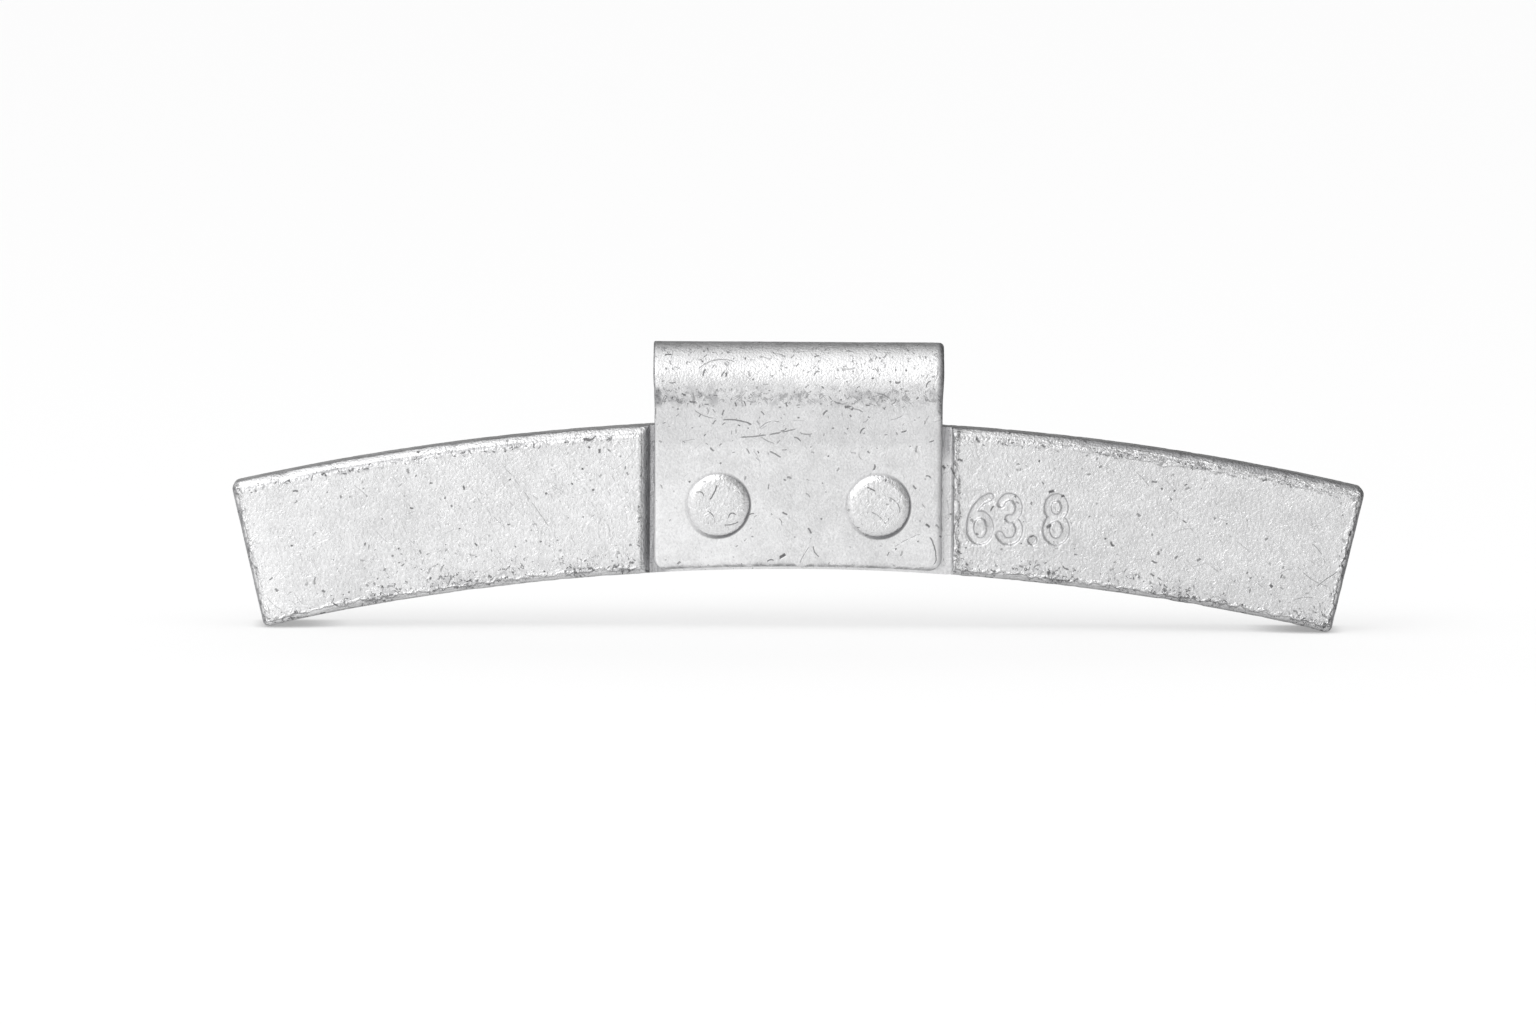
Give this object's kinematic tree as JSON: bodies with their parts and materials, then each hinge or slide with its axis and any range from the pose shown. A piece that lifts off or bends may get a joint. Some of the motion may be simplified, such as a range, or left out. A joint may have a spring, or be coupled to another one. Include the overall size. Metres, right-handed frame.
{
  "type": "wheel balance weight",
  "caption": "Clip-on wheel balance weight: a curved zinc-coated steel bar with a staked spring-steel clip that hooks over the lip of a car wheel's rim.",
  "frame": {"origin": "on the axis of the hook's bend, midway along the clip", "axes": "+X along the rim, to the right seen from the front; +Y from the front face towards the wheel; +Z away from the wheel's centre"},
  "size_m": [0.0982, 0.0093, 0.0246],
  "materials": {
    "bar_steel": "zinc-coated steel, satin, with fine grain, pits and handling marks",
    "clip_steel": "zinc-coated spring steel, satin, scuffed round the bend"
  },
  "bodies": {
    "root": {"weight_body": "bar_steel", "rim_clip": "clip_steel"}
  },
  "joints": []
}
